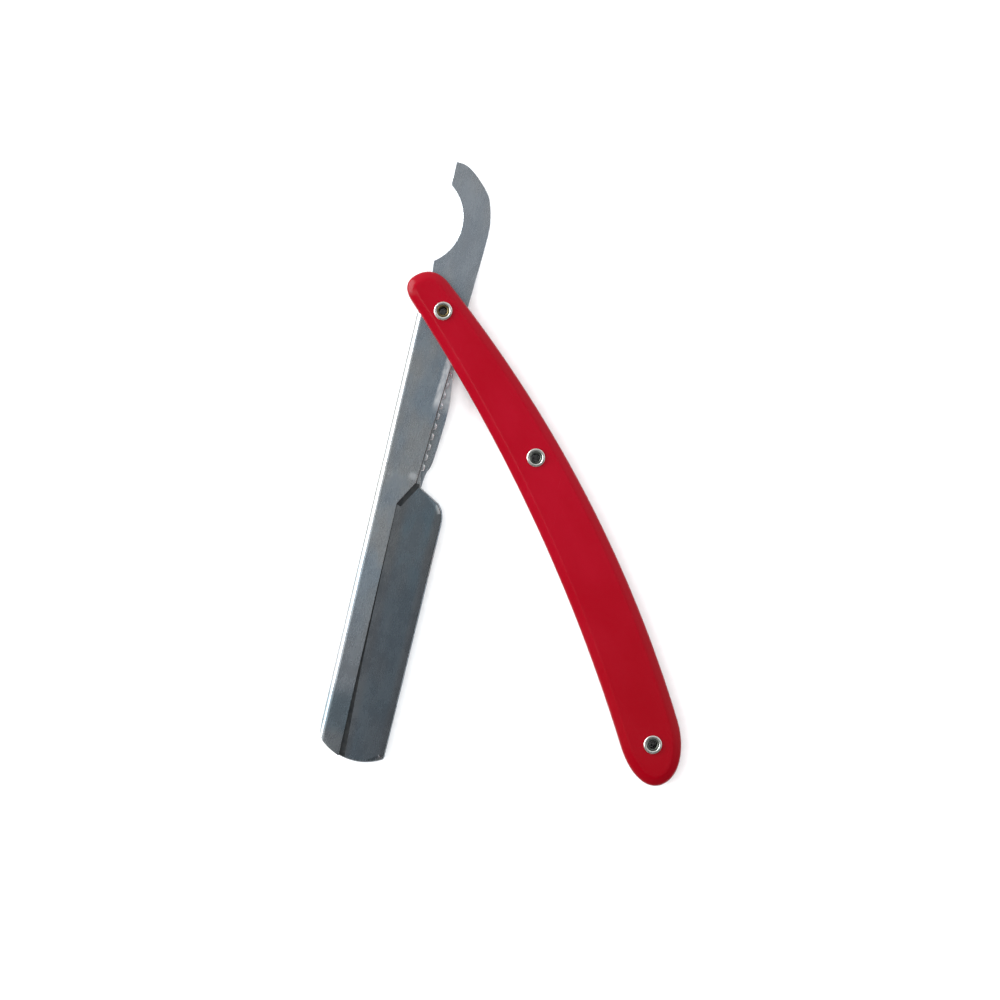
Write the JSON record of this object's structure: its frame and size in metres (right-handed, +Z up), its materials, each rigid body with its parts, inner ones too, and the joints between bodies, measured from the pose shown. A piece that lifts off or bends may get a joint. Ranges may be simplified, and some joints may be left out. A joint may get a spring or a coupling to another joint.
{
  "type": "straight razor",
  "caption": "Folding barber's razor that clamps a replaceable blade between two hinged steel leaves, with a bowed red plastic handle.",
  "frame": {"origin": "on the surface the razor lies on, under the middle of the opened razor's bounding box", "axes": "+Z up, out of the front scale; +Y towards the finger hook, along the longest extent; +X towards the handle's lower end"},
  "size_m": [0.0904, 0.156, 0.0098],
  "materials": {
    "scale_plastic": "glossy moulded red",
    "leaf_steel": "satin, lightly worn",
    "nickel": "nickel plated",
    "brass": "dull",
    "washer_nylon": "natural nylon"
  },
  "bodies": {
    "handle": {"front_scale": "scale_plastic", "back_scale": "scale_plastic", "end_wedge": "scale_plastic", "middle_spacer": "nickel", "pivot_bush": "brass", "front_pivot_washer": "washer_nylon", "back_pivot_washer": "washer_nylon", "pivot_rivet": "brass", "middle_rivet": "nickel", "end_rivet": "nickel", "pivot_front_collar": "nickel", "pivot_back_collar": "nickel", "middle_front_collar": "nickel", "middle_back_collar": "nickel", "end_front_collar": "nickel", "end_back_collar": "nickel"},
    "blade_leaf": {"blade_leaf": "leaf_steel"},
    "spine_leaf": {"spine_leaf": "leaf_steel", "blade_peg_1": "nickel", "blade_peg_2": "nickel", "blade_peg_3": "nickel"}
  },
  "joints": [
    {"name": "fold", "type": "hinge", "parent": "handle", "child": "blade_leaf", "pos_m": [-0.01429, 0.04045, 0.0049], "axis": [0, 0, 1], "range_deg": [-255, 36.5]},
    {"name": "swing", "type": "hinge", "parent": "blade_leaf", "child": "spine_leaf", "pos_m": [-0.01429, 0.04045, 0.0049], "axis": [0, 0, 1], "range_deg": [-40, 0]}
  ]
}
